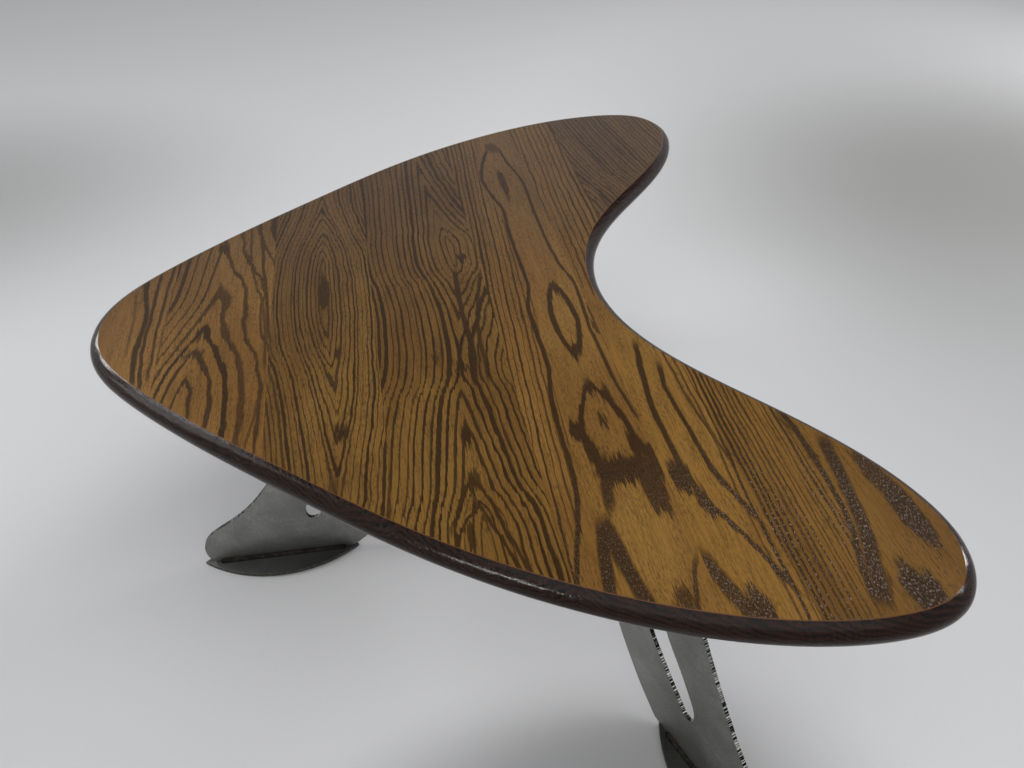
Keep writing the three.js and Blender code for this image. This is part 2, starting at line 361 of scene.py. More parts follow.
BOARD_WOOD = {
    "board_1": dict(
        seed=1, middle=[(-560, -230), (560, -250)], rings=straight(1),
        left=15, right_side=15, outside=0.12, between=(straight(-490), straight(-480)),
        strokes=[(2.4, 0.95, (-118, -340), (-60, -346), (0, -347), (60, -355), (110, -362)),
                 (1.8, 0.9, (-128, -330), (-60, -339), (20, -342), (110, -345)),
                 (1.5, 0.85, (-110, -325), (-30, -329), (50, -331), (140, -332)),
                 (1.1, 0.6, (-90, -320), (20, -323), (150, -323)),
                 (1.2, 0.5, (-60, -356), (20, -362), (70, -368))],
        blotches=[(-360, 88, 4.5, 12, 0.95)], tone=(1.0, 0.98, 1.0)),
    "board_2": dict(
        seed=2,
        middle=[(-560, -292), (-118, -285), (-72, -282), (-30, -278), (55, -267), (156, -273),
                (560, -275)],
        rings=[(-560, 0.1), (-260, 0.25), (-160, 0.55), (-118, 1.05), (-72, 2.05), (-30, 3.05),
               (55, 4.05), (156, 5.05), (230, 5.5), (560, 5.9)],
        left=9.5, right_side=16.5, pointed=1.22, wander=4, line=0.28,
        strokes=[(1.6, 0.8, (-60, -203), (0, -207), (100, -219), (150, -224), (230, -232)),
                 (1.4, 0.7, (-110, -203), (0, -211), (100, -233), (215, -243)),
                 (1.3, 0.6, (-240, -214), (-190, -208), (-140, -205))],
        blotches=[(-273, 158, 7, 13, 0.9), (-283, -72, 14, 5, 0.85), (-278, -32, 8, 8, 0.9)],
        tone=(0.95, 0.94, 0.95)),
    "board_3": dict(
        seed=3,
        middle=[(-560, -126), (-230, -124), (-130, -130), (-60, -138), (40, -143), (240, -148),
                (560, -152)],
        rings=[(-560, 12.5), (-400, 9.6), (-250, 6.4), (-190, 5.0), (-130, 3.5), (-60, 1.2),
               (20, 0.2), (90, 0.8), (150, 3.0), (170, 4.0), (190, 5.0), (215, 6.0), (240, 7.0),
               (360, 9.0), (560, 11.5)],
        left=4.9, right_side=4.7, pointed=1.25, wander=3.6, line=0.3,
        blotches=[(-122, -225, 9, 13, 0.95), (-143, 35, 7, 44, 0.85), (-125, -95, 4, 10, 0.9),
                  (-128, -300, 6, 14, 0.6)],
        tone=(0.78, 0.80, 0.82)),
    "board_4": dict(
        seed=4, middle=[(-560, 4), (-380, 2), (-200, 0), (-90, 10), (20, 18), (110, 18), (220, 6),
                        (360, -8), (560, -14)],
        rings=[(-560, 0.1), (-430, 0.3), (-368, 1.05), (-343, 2.05), (-318, 3.05), (-253, 4.05),
               (-190, 5.1), (-140, 6.2), (-60, 5.4), (20, 3.4), (110, 0.8), (170, 2.2), (260, 4.0),
               (400, 5.6), (560, 6.8)],
        left=6.8, right_side=7.6, pointed=1.2, wander=4.5, line=0.27,
        strokes=[(2.6, 0.9, (-172, 18), (-110, 21), (-50, 18), (55, 18)),
                 (1.8, 0.85, (-172, 33), (-80, 32), (0, 42), (45, 50)),
                 (1.5, 0.95, (-400, -23), (-378, -21), (-362, -13), (-345, -4), (-332, -2)),
                 (1.4, 0.9, (-430, 27), (-400, 20), (-375, 12), (-355, 4), (-338, -1)),
                 (1.5, 0.95, (-372, -27), (-352, -19), (-338, -14), (-322, -8), (-308, -3)),
                 (1.5, 0.9, (-430, 33), (-400, 27), (-370, 18), (-345, 13), (-325, 7), (-308, 2))],
        blotches=[(9, -147, 11, 7, 0.9), (-20, -120, 5, 10, 0.7), (30, 85, 7, 9, 0.9),
                  (-2, -253, 6, 20, 0.95), (-2, -318, 6, 11, 0.9), (-10, -382, 4, 18, 0.85)],
        tone=(0.76, 0.77, 0.78)),
    "board_5": dict(
        seed=5, middle=[(-560, 180), (-200, 184), (200, 192), (560, 196)],
        rings=straight(0.5), left=6.6, right_side=30, pointed=2.0, wander=4, line=0.3,
        between=(straight(-100),
                 [(-560, 74), (-440, 72), (-330, 92), (-150, 98), (0, 103), (150, 99), (250, 86),
                  (330, 80), (420, 92), (560, 100)]),
        outside=0.07,
        strokes=[(2.0, 0.95, (-445, 68), (-400, 78), (-350, 88), (-200, 92), (-150, 98), (-50, 95),
                  (0, 103), (150, 100), (200, 101), (250, 91), (300, 84), (350, 90), (405, 104)),
                 (2.4, 0.95, (-285, 111), (-255, 113), (-235, 117), (-215, 124), (-188, 133)),
                 (2.8, 0.95, (-300, 161), (-262, 158), (-240, 154), (-215, 147), (-198, 137),
                  (-184, 133)),
                 (4.0, 0.95, (-470, 91), (-420, 97), (-376, 103)),
                 (5.5, 0.95, (-482, 122), (-420, 111), (-376, 105)),
                 (4.5, 0.9, (-370, 114), (-330, 119), (-296, 122)),
                 (2.6, 0.95, (-148, 131), (-110, 123), (-70, 120), (-30, 123), (4, 131)),
                 (2.6, 0.95, (-148, 133), (-110, 142), (-70, 147), (-30, 143), (4, 134)),
                 (1.6, 0.9, (-255, 171), (-200, 163), (-100, 158), (0, 160), (50, 150), (170, 143),
                  (280, 142), (350, 130), (410, 122)),
                 (1.3, 0.8, (-205, 171), (-160, 170), (-115, 168)),
                 (1.6, 0.85, (-110, 173), (-80, 166), (-50, 166), (-20, 173)),
                 (2.0, 0.85, (-490, 157), (-455, 163), (-430, 172))],
        blotches=[(107, -262, 7, 16, 0.95), (137, -322, 28, 20, 0.95), (136, -251, 5, 10, 0.9),
                  (115, -296, 7, 30, 0.95), (158, -293, 7, 24, 0.95), (148, -212, 6, 14, 0.9),
                  (159, -345, 11, 42, 0.9), (168, -318, 9, 26, 0.9), (149, -472, 10, 14, 0.85),
                  (113, 285, 5.5, 50, 0.85), (132, -134, 6, 16, 0.95), (133, -4, 6, 15, 0.9),
                  (134, -196, 5, 12, 0.9), (168, -92, 7, 14, 0.8), (170, -28, 6, 16, 0.8),
                  (114, 410, 10, 18, 0.7)],
        tone=(0.97, 0.98, 1.06), glint=0.25),
    "board_6": dict(
        seed=6, middle=straight(330), rings=straight(0.5),
        left=8.0, right_side=17, wander=6, line=0.24,
        between=([(-560, 232), (-250, 228), (-120, 215), (60, 150), (140, 148), (560, 130)],
                 straight(400)),
        outside=0.07,
        strokes=[(2.6, 0.95, (-478, 240), (-430, 226), (-400, 213), (-370, 200), (-320, 192),
                  (-250, 189), (-200, 192), (-130, 201)),
                 (2.1, 0.95, (-402, 239), (-370, 229), (-340, 221), (-280, 215), (-215, 211),
                  (-170, 216)),
                 (1.3, 0.8, (-330, 239), (-280, 234), (-230, 228), (-170, 226)),
                 (2.0, 0.85, (-490, 158), (-450, 166), (-428, 173)),
                 (6.0, 0.9, (-495, 198), (-460, 186), (-425, 176))],
        blotches=[(188, -336, 9, 26, 0.95), (199, -370, 6, 20, 0.9), (203, -490, 15, 20, 0.95)],
        tone=(0.91, 0.90, 0.86), glint=0.5),
    "board_7_near": dict(
        seed=7, middle=straight(420), rings=straight(0.5),
        left=5.2, right_side=15, pointed=2.0, wander=3.6, line=0.3,
        between=(straight(100),
                 [(-560, 288), (-500, 296), (-450, 306), (-400, 314), (-300, 318), (560, 318)]),
        outside=0.05,
        strokes=[(2.4, 0.95, (-500, 298), (-460, 304), (-420, 314), (-370, 318), (-300, 317),
                  (-240, 309)),
                 (5.0, 0.95, (-502, 304), (-460, 314), (-420, 325), (-370, 331), (-310, 338)),
                 (1.8, 0.7, (-500, 310), (-470, 320)),
                 (1.4, 0.7, (-340, 322), (-310, 318), (-270, 306))],
        blotches=[(371, -408, 12, 48, 0.95), (362, -352, 10, 34, 0.9), (340, -494, 16, 22, 1.0),
                  (338, -478, 7, 16, 0.9)],
        tone=(0.74, 0.72, 0.60), glint=0.6),
    "board_7_far": dict(
        seed=8, middle=[(-560, 470), (150, 470), (330, 430), (560, 400)],
        rings=straight(0.5), left=7.2, right_side=12, pointed=2.0, wander=6, line=0.36,
        strokes=[(2.0, 0.7, (180, 250), (215, 246), (245, 250)),
                 (1.6, 0.7, (290, 272), (330, 266), (370, 262))],
        blotches=[(262, 240, 4, 14, 0.6), (309, 365, 4, 18, 0.6)],
        # Darker, bluer tone: painted shade and a painted grey sheen at the far tip.
        tone=(0.70, 0.76, 1.10)),
}


# ---- Other materials ----
def scaled(base, factor):
    """An sRGB colour made darker or lighter, as linear RGBA."""
    return colour(*[min(255, v * factor) for v in base])


def ground_steel(name, seed, base, roughness):
    """Mill steel with the cloudy swirls and fine scratches of a hand grinder."""
    s = Shader(name)
    cloud = s.noise(s.x / 60, s.y / 60 + seed, s.z / 60, 4.0, 0.55)
    swirl = s.noise(s.x / 30 + seed, s.y / 30, s.z / 30, 2.0, 0.5, 1.6)
    arcs = s.noise(swirl * 46.0, cloud * 9.0, s.z / 40 + seed, 3.0, 0.7)
    scratch_a = s.noise((s.x + s.y) / 14 + s.z / 22, (s.z - s.x) / 1.1, (s.x - s.y) / 3 + seed,
                        2.0, 0.6)
    scratch_b = s.noise((s.y - s.x) / 3, (s.z + s.x) / 1.3, s.z / 26 + s.x / 20 + seed * 2,
                        2.0, 0.6)
    marks = scratch_a.step(0.60, 0.72).above(scratch_b.step(0.62, 0.74) * 0.8)
    low = scaled(base, 0.90)
    paint = s.mix(cloud.step(0.3, 0.7), low, scaled(base, 1.08))
    paint = s.mix(arcs.step(0.46, 0.62) * 0.5, paint, low)
    paint = s.mix(marks * 0.55, paint, scaled(base, 1.45))
    rough = roughness + 0.04 * (cloud - 0.5) + 0.06 * arcs - 0.08 * marks
    return s.surface(Base_Color=paint, Metallic=1.0, Roughness=rough,
                     Normal=s.bump(arcs * 0.5 + marks, 0.03, 0.4))


def cut_steel(name, bearing, glint):
    """A torch-cut edge: dark, with bright drag lines straight across the plate.

    bearing: the leg's, in degrees. glint: how bright the lines are; the apex leg's lower value is
    painted shade.
    """
    s = Shader(name)
    c, n = math.cos(math.radians(bearing)), math.sin(math.radians(bearing))
    along = s.x * c + s.y * n
    drag = s.noise(along / 1.5, 0.0, s.z / 1.5, 1.0, 0.5)
    fine = s.noise(s.x / 1.0, s.y / 1.0, s.z / 1.0, 2.0, 0.6)
    bright = (drag + 0.16 * (fine - 0.5)).step(0.49, 0.60) * glint
    paint = s.mix(bright, colour(28, 27, 26), colour(222, 220, 214))
    return s.surface(Base_Color=paint, Metallic=1.0, Roughness=0.44 - 0.20 * bright,
                     Normal=s.bump(drag + 0.2 * fine, 0.15, 0.7))


def rim_steel():
    """The worn rim of a lens-shaped plate."""
    s = Shader("rim_steel")
    wear = s.noise(s.x / 2.5, s.y / 2.5, s.z / 2.5, 3.0, 0.6)
    paint = s.mix(wear.step(0.40, 0.66), colour(62, 60, 54), colour(104, 101, 94))
    return s.surface(Base_Color=paint, Metallic=1.0, Roughness=0.34 + 0.2 * wear,
                     Normal=s.bump(wear, 0.05, 0.5))


def weld_steel():
    s = Shader("weld_steel")
    heat = s.noise(s.x / 8, s.y / 8, s.z / 8, 3.0)
    soot_and_shade = s.noise(s.x / 1.5, s.y / 1.5, s.z / 1.5, 2.0)
    # Near-black bead: partly soot and heat tint, partly painted shade for the dark line in the
    # corner between the plates.
    paint = s.mix(heat.step(0.4, 0.65), colour(24, 23, 22), colour(40, 36, 32))
    paint = s.mix(soot_and_shade.step(0.5, 0.7) * 0.6, paint, colour(10, 10, 10))
    return s.surface(Base_Color=paint, Metallic=1.0, Roughness=0.46 + 0.25 * soot_and_shade,
                     Normal=s.bump(soot_and_shade, 0.08, 0.5))


def black_steel():
    s = Shader("black_oxide_steel")
    wear = s.noise(s.x / 3, s.y / 3, s.z / 3, 3.0)
    paint = s.mix(wear.step(0.55, 0.75), colour(38, 38, 40), colour(88, 88, 90))
    return s.surface(Base_Color=paint, Metallic=1.0, Roughness=0.34 + 0.2 * wear,
                     Normal=s.bump(wear, 0.04, 0.4))


def felt():
    s = Shader("pressed_felt")
    tuft = s.noise(s.x / 0.8, s.y / 0.8, s.z / 0.8, 4.0, 0.7)
    cloud = s.noise(s.x / 9, s.y / 9, s.z / 3, 2.0)
    paint = s.mix(tuft.step(0.35, 0.7), colour(62, 60, 57), colour(112, 108, 102))
    paint = s.mix(cloud.step(0.5, 0.8) * 0.3, paint, colour(80, 74, 66))
    return s.surface(Base_Color=paint, Roughness=0.95, Sheen_Weight=0.3,
                     Normal=s.bump(tuft, 0.3, 0.9))


def beech():
    s = Shader("pressed_beech")
    grain = s.noise((s.x + s.y) / 1.2, (s.x - s.y) / 9, s.z / 1.2, 3.0)
    fleck = s.noise(s.x / 0.7, s.y / 2.5, s.z / 0.7, 2.0)
    paint = s.mix(grain.step(0.35, 0.65), colour(205, 172, 126), colour(178, 141, 96))
    paint = s.mix(fleck.step(0.6, 0.72) * 0.6, paint, colour(140, 100, 62))
    return s.surface(Base_Color=paint, Roughness=0.78, Normal=s.bump(grain + fleck, 0.1, 0.5))


# ---- Mesh helpers ----
def make_object(name, vertices, faces, materials, face_slots=None, sharp_degrees=12):
    mesh = bpy.data.meshes.new(name)
    mesh.from_pydata([tuple(c * MM for c in v) for v in vertices], [], faces)
    for material in materials:
        mesh.materials.append(material)
    if face_slots is not None:
        mesh.polygons.foreach_set("material_index", face_slots)
    finish_mesh(mesh, sharp_degrees)
    return add_object(name, mesh)


def finish_mesh(mesh, sharp_degrees):
    work = bmesh.new()
    work.from_mesh(mesh)
    bmesh.ops.recalc_face_normals(work, faces=work.faces)
    work.to_mesh(mesh)
    work.free()
    mesh.polygons.foreach_set("use_smooth", [True] * len(mesh.polygons))
    mesh.set_sharp_from_angle(angle=math.radians(sharp_degrees))
    mesh.update()


def catmull(points, closed, steps=10):
    """A Catmull-Rom curve through points."""
    pts = np.array(points, float)
    count = len(pts)
    out = []
    for i in range(count if closed else count - 1):
        picks = [i - 1, i, i + 1, i + 2]
        picks = [k % count for k in picks] if closed else [min(max(k, 0), count - 1) for k in picks]
        a, b, c, d = pts[picks]
        for t in np.linspace(0, 1, steps, endpoint=False):
            out.append(0.5 * (2 * b + (c - a) * t + (2 * a - 5 * b + 4 * c - d) * t ** 2
                              + (3 * b - a - 3 * c + d) * t ** 3))
    if not closed:
        out.append(pts[-1])
    return np.array(out)


def evenly(points, pitch, closed=True):
    """The same line with points about pitch apart."""
    pts = np.array(points, float)
    if closed:
        pts = np.vstack([pts, pts[:1]])
    far = np.concatenate([[0], np.cumsum(np.hypot(*np.diff(pts, axis=0).T))])
    count = max(3, int(round(far[-1] / pitch)))
    at = np.linspace(0, far[-1], count, endpoint=not closed)
    return np.stack([np.interp(at, far, pts[:, k]) for k in (0, 1)], axis=1)


def area(loop):
    x, y = np.array(loop).T
    return 0.5 * np.sum(x * np.roll(y, -1) - np.roll(x, -1) * y)


def circle(x, y, radius, sides):
    return [(x + radius * math.cos(t), y + radius * math.sin(t))
            for t in np.linspace(0, math.tau, sides, endpoint=False)]


def band(lower, count):
    """Quads from the ring of count vertices that starts at number lower to the ring after it."""
    upper = lower + count
    return [(lower + i, lower + (i + 1) % count, upper + (i + 1) % count, upper + i)
            for i in range(count)]


def outward(loop):
    """Unit normals of a closed loop, away from the solid, when the loop runs anticlockwise."""
    run = np.roll(loop, -1, 0) - np.roll(loop, 1, 0)
    run /= np.maximum(np.hypot(*run.T), 1e-9)[:, None]
    return np.stack([run[:, 1], -run[:, 0]], axis=1)


# ---- Top ----
HALF_OUTLINE = [
    (-400, 0), (-387, 56), (-347, 110), (-259, 197), (-164, 277), (-69, 358), (31, 426), (146, 481),
    (242, 508), (322, 514), (378, 500), (401, 446), (388, 388), (359, 330), (311, 265), (261, 206),
    (219, 146), (194, 92), (182, 45), (178, 0)]
OUTLINE_STEPS = 16
EDGE_REACH = 12.0
EDGE_START = math.radians(20)  # the bullnose starts this steeply, which leaves an arris on the top
EDGE_LEVELS = 16
SEAM_X = [-322, -203, -85, 52, 164, 234]
SEAM_GAP = 0.08
BISCUITS_ON_SEAM = [[0], [-120, 120], [-180, 180], [-310, -110, 110, 310],
                    [-370, -110, 110, 370], [-330, 330]]
BISCUIT_LENGTH, BISCUIT_WIDTH, BISCUIT_THICKNESS, BISCUIT_CORNER = 56, 23, 4, 7
CLEARANCE = 0.3
SCREW_HOLE_RADIUS = 2.8
PILOT_DEPTH = 16.3
SMOOTH_BELOW = 13  # degrees: a board's facets meeting at less than this are shaded as one
FACE_DEPTH = 0.02  # a polygon with a corner more than this below the top isn't part of its face


def top_outline():
    """The boundary of the top's flat, as a closed cubic B-spline, anticlockwise."""
    points = np.array(HALF_OUTLINE + [(x, -y) for x, y in HALF_OUTLINE[-2:0:-1]], float)
    count = len(points)
    out = []
    for i in range(count):
        a, b, c, d = (points[(i + k) % count] for k in (-1, 0, 1, 2))
        for t in np.linspace(0, 1, OUTLINE_STEPS, endpoint=False):
            out.append(((1 - t) ** 3 * a + (3 * t ** 3 - 6 * t ** 2 + 4) * b
                        + (-3 * t ** 3 + 3 * t ** 2 + 3 * t + 1) * c + t ** 3 * d) / 6)
    out = np.array(out)
    return out if area(out) > 0 else out[::-1]


def edge_profile():
    """(how far out, z) from the top's flat round to the underside."""
    levels = []
    start = math.sin(EDGE_START)
    for a in np.linspace(EDGE_START, math.pi - EDGE_START, EDGE_LEVELS):
        out = EDGE_REACH * (math.sin(a) - start) / (1 - start)
        drop = THICKNESS / 2 * (1 - math.cos(a) / math.cos(EDGE_START))
        levels.append((out, TOP_Z - drop))
    return levels


def slab_mesh():
    loop = top_outline()
    normals = outward(loop)
    work = bmesh.new()
    rings = []
    for out, z in edge_profile():
        ring = loop + normals * out
        rings.append([work.verts.new((x * MM, y * MM, z * MM)) for x, y in ring])
    count = len(loop)
    for upper, lower in zip(rings, rings[1:]):
        for i in range(count):
            j = (i + 1) % count
            work.faces.new((upper[i], lower[i], lower[j], upper[j]))
    work.faces.new(rings[0])
    work.faces.new(rings[-1][::-1])
    bmesh.ops.recalc_face_normals(work, faces=work.faces)
    return work


def seam_point(seam_x, along):
    return seam_x - along * math.sin(BOARD_LEAN), along * math.cos(BOARD_LEAN)


def cut(work, seam_x, keep_right):
    """Cuts the mesh along a glue line, closes it there and keeps one side."""
    normal = Vector((math.cos(BOARD_LEAN), math.sin(BOARD_LEAN), 0))
    point = Vector((seam_x * MM, 0, 0))
    found = bmesh.ops.bisect_plane(
        work, geom=[*work.verts, *work.edges, *work.faces], dist=1e-7, plane_co=point,
        plane_no=normal, clear_inner=keep_right, clear_outer=not keep_right)
    edges = [e for e in found["geom_cut"] if isinstance(e, bmesh.types.BMEdge) and e.is_valid]
    bmesh.ops.edgeloop_fill(work, edges=edges)


def pockets():
    """The biscuit slots and the screws' pilot holes, as one mesh of separate closed solids."""
    work = bmesh.new()
    middle = TOP_Z - THICKNESS / 2
    half_length = BISCUIT_LENGTH / 2 + CLEARANCE
    half_width = BISCUIT_WIDTH / 2 + CLEARANCE
    half_depth = BISCUIT_THICKNESS / 2 + CLEARANCE
    corner = BISCUIT_CORNER
    shape = [(-half_width + corner, -half_length), (half_width - corner, -half_length),
             (half_width, -half_length / 2), (half_width, half_length / 2),
             (half_width - corner, half_length), (-half_width + corner, half_length),
             (-half_width, half_length / 2), (-half_width, -half_length / 2)]
    for seam, places in zip(SEAM_X, BISCUITS_ON_SEAM):
        for along in places:
            cx, cy = seam_point(seam, along)
            c, s = math.cos(BOARD_LEAN), math.sin(BOARD_LEAN)
            flat = [(cx + x * c - y * s, cy + x * s + y * c) for x, y in shape]
            prism(work, flat, middle - half_depth, middle + half_depth)
    for leg in LEGS.values():
        for x, y in screw_centres():
            wx, wy = placed(leg, x, y)
            ring = circle(wx, wy, SCREW_HOLE_RADIUS, 20)
            prism(work, ring, UNDERSIDE_Z - 1, UNDERSIDE_Z + PILOT_DEPTH)
    bmesh.ops.recalc_face_normals(work, faces=work.faces)
    mesh = bpy.data.meshes.new("pockets")
    work.to_mesh(mesh)
    work.free()
    return add_object("pockets", mesh)


def prism(work, flat, low, high):
    """Adds an upright prism to a bmesh, over the outline flat."""
    lower = [work.verts.new((x * MM, y * MM, low * MM)) for x, y in flat]
    upper = [work.verts.new((x * MM, y * MM, high * MM)) for x, y in flat]
    work.faces.new(lower[::-1])
    work.faces.new(upper)
    for i in range(len(flat)):
        j = (i + 1) % len(flat)
        work.faces.new((lower[i], lower[j], upper[j], upper[i]))


def build_top():
    """The boards, each cut out of one slab and then pocketed for its biscuits and screws."""
    cutter = pockets()
    whole = slab_mesh()
    edges = [None, *SEAM_X, None]
    for i in range(len(edges) - 1):
        low, high = edges[i], edges[i + 1]
        halves = [("_near", -1), ("_far", 1)] if high is None else [("", 0)]
        for suffix, side in halves:
            name = f"board_{i + 1}{suffix}"
            work = whole.copy()
            if low is not None:
                cut(work, low + SEAM_GAP / 2, True)
            if high is not None:
                cut(work, high - SEAM_GAP / 2, False)
            if side:
                spare = [v for v in work.verts if v.co.y * side < 0]
                bmesh.ops.delete(work, geom=spare, context="VERTS")
            mesh = bpy.data.meshes.new(name)
            work.to_mesh(mesh)
            work.free()
            board = add_object(f"{name}_stained", mesh)
            modifier = board.modifiers.new("pockets", "BOOLEAN")
            modifier.object = cutter
            modifier.operation = "DIFFERENCE"
            modifier.solver = "EXACT"
            graph = bpy.context.evaluated_depsgraph_get()
            done = bpy.data.meshes.new_from_object(board.evaluated_get(graph))
            board.modifiers.clear()
            board.data = done
            done.materials.clear()
            for edge in (False, True):
                label = f"{name}_{'edge' if edge else 'face'}"
                done.materials.append(wood(label, edge, **BOARD_WOOD[name]))
            for face in done.polygons:
                lowest = min(done.vertices[i].co.z for i in face.vertices)
                face.material_index = int(lowest < (TOP_Z - FACE_DEPTH) * MM)
            finish_mesh(done, SMOOTH_BELOW)
            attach(board, "root")
            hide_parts(name)
    whole.free()
    bpy.data.objects.remove(cutter)


# ---- Legs ----
LEGS = {
    "apex": (-154, 0, 180, 0),  # x, y, bearing in degrees, where the foot's inner tip lies on s
    "near": (204, -331, -68, 12),
    "far": (204, 331, 68, 12)}
LENS_LENGTH, LENS_WIDTH, LENS_THICKNESS = 222, 76, 6
LENS_GAP = 0.1  # a lens-shaped plate is drawn this much thinner, to clear its neighbour
LENS_CHAMFER = 0.7
FELT_THICKNESS, FELT_INSET = 2, 3
FELT_ROUND = 0.5
LEG_THICKNESS = 5
FOOT_TOP_Z = FELT_THICKNESS + LENS_THICKNESS
MOUNT_BOTTOM_Z = UNDERSIDE_Z - LENS_THICKNESS
PLATE_BOTTOM_Z = 8.3
PLATE_TOP_Z = 395.7
MOUNT_CENTRE_S = -95
PLATE_OUTER_EDGE = [
    (213, 17), (216, 34), (212, 51), (202, 65), (186, 77), (166, 90), (146, 106), (126, 127),
    (106, 153), (85, 182), (52, 232), (27, 282), (8, 330), (-8, 370)]
PLATE_INNER_EDGE = [
    (-172, 365), (-159, 310), (-142, 250), (-124, 195), (-104, 145), (-80, 101), (-54, 67),
    (-28, 38), (-7, 19)]
SLOT_RING = [
    (64, 92), (59, 107), (33, 141), (3, 176), (-25, 221), (-48, 266), (-66, 304), (-78, 308),
    (-87, 300), (-84, 281), (-75, 243), (-55, 197), (-26, 153), (8, 116), (40, 86), (50, 78),
    (61, 79)]
FOOT_TOE_S, FOOT_HEEL_S, MOUNT_TOE_S, MOUNT_HEEL_S = 206, 6, -15, -175
CUT_PITCH = 1.1  # mm between the drag lines' points along a torch-cut edge
CUT_DEPTH = 0.22
CUT_LAG = 1.2  # points that the drag lines trail behind the torch at each level
FOOT_WELD_INSET, WELD_INSET = 18, 6
WELD_LEG = 5.0
WELD_SECTION = [  # (out, rise) from the corner between the plates
    (0.0, 0.0), (5.0, 0.0), (4.5, 0.9), (3.7, 1.9), (2.8, 2.8), (1.9, 3.7), (0.9, 4.5), (0.0, 5.0)]
WELD_STEP = 0.7  # mm between a weld's cross-sections
WELD_PITCH = 3.1  # mm from crescent to crescent
WELD_FADE = 5  # mm over which a weld's ends thin out
SCREW_HEAD_RADIUS, SCREW_SHANK_RADIUS, THREAD_ROOT_RADIUS = 5.5, 2.5, 2.05
HEX_HALF_WIDTH = 1.9
SCREW_SIDES = 30
THREAD_TURNS = 16


def placed(leg, s, across):
    """World x and y of a point on a leg: s along its plate, across to the plate's left."""
    x, y, bearing, _ = leg
    c, n = math.cos(math.radians(bearing)), math.sin(math.radians(bearing))
    return x + s * c - across * n, y + s * n + across * c


def screw_centres():
    return [(MOUNT_CENTRE_S - 92, 0), (MOUNT_CENTRE_S, -24), (MOUNT_CENTRE_S, 24),
            (MOUNT_CENTRE_S + 92, 0)]


def profile_plate(loops, levels):
    """Vertices as (a, b, h), faces and material slots of a flat plate.

    loops: the outline and then the holes, each with its ripple. levels: (inset, height h) from one
    face to the other. Slot 0 is the two faces and slot 1 is the cut edge.
    """
    vertices, faces, slots, flats = [], [], [], []
    for number, (loop, ripple) in enumerate(loops):
        turn = area(loop) > 0
        loop = loop if turn == (number == 0) else loop[::-1]
        normal = outward(loop)
        base = len(vertices)
        count = len(loop)
        for depth, (inset, height) in enumerate(levels):
            shift = int(round(CUT_LAG * depth))
            wave = np.roll(ripple, shift)[:count]
            spots = loop - normal * (inset + wave[:, None])
            vertices += [(a, b, height) for a, b in spots]
        for depth in range(len(levels) - 1):
            faces += band(base + depth * count, count)
            slots += [1] * count
        flats.append((base, count))
    for depth, flip in ((0, True), (len(levels) - 1, False)):
        rings, index = [], []
        for base, count in flats:
            start = base + depth * count
            index += range(start, start + count)
            rings.append([Vector((*vertices[k][:2], 0)) for k in range(start, start + count)])
        for triangle in tessellate_polygon(rings):
            picked = [index[k] for k in triangle]
            faces.append(picked[::-1] if flip else picked)
            slots.append(0)
    return vertices, faces, slots


def torch_ripple(count, seed):
    """Uneven little scallops along a cut edge."""
    dice = np.random.default_rng(seed)
    coarse = np.interp(np.arange(count) / 2.3, np.arange(count), dice.random(count))
    return CUT_DEPTH * (coarse - 0.5 + 0.7 * (dice.random(count) - 0.5))


def leg_plate_parts(seed):
    outer = [(FOOT_TOE_S, PLATE_BOTTOM_Z), *PLATE_OUTER_EDGE, (MOUNT_TOE_S, PLATE_TOP_Z)]
    inner = [(MOUNT_HEEL_S, PLATE_TOP_Z), *PLATE_INNER_EDGE, (FOOT_HEEL_S, PLATE_BOTTOM_Z)]
    outer, inner = catmull(outer, False), catmull(inner, False)
    loop = evenly(np.vstack([outer, inner]), CUT_PITCH)
    slot = evenly(catmull(SLOT_RING, True), CUT_PITCH)
    half = LEG_THICKNESS / 2
    levels = [(0.45, -half), (0.12, -half + 0.12), (0, -half + 0.45), (0, -0.7), (0, 0.7),
              (0, half - 0.45), (0.12, half - 0.12), (0.45, half)]
    ripples = [torch_ripple(len(loop), seed), torch_ripple(len(slot), seed + 50)]
    return profile_plate([(loop, ripples[0]), (slot, ripples[1])], levels)


def lens_loop(shift, inset, pitch=2.5):
    """Two arcs that meet in points, from s = shift + inset onwards."""
    half = LENS_LENGTH / 2 - inset
    bulge = LENS_WIDTH / 2 - inset
    radius = (half ** 2 + bulge ** 2) / (2 * bulge)
    spread = math.asin(half / radius)
    centre = LENS_LENGTH / 2 + shift
    count = int(2 * spread * radius / pitch)
    loop = []
    for side in (1, -1):
        for t in np.linspace(-spread, spread, count, endpoint=False):
            s = centre - side * radius * math.sin(t)
            loop.append((s, side * (bulge - radius + radius * math.cos(t))))
    return np.array(loop)


def lens_parts(z, shift, inset, thickness, edge, holes=()):
    loop = lens_loop(shift, inset)
    loops = [(loop, np.zeros(len(loop)))]
    for x, y in holes:
        ring = np.array(circle(x, y, SCREW_HOLE_RADIUS, 24))
        loops.append((ring, np.zeros(len(ring))))
    levels = [(edge, z), (edge * 0.3, z + edge * 0.3), (0, z + edge), (0, z + thickness - edge),
              (edge * 0.3, z + thickness - edge * 0.3), (edge, z + thickness)]
    return profile_plate(loops, levels)


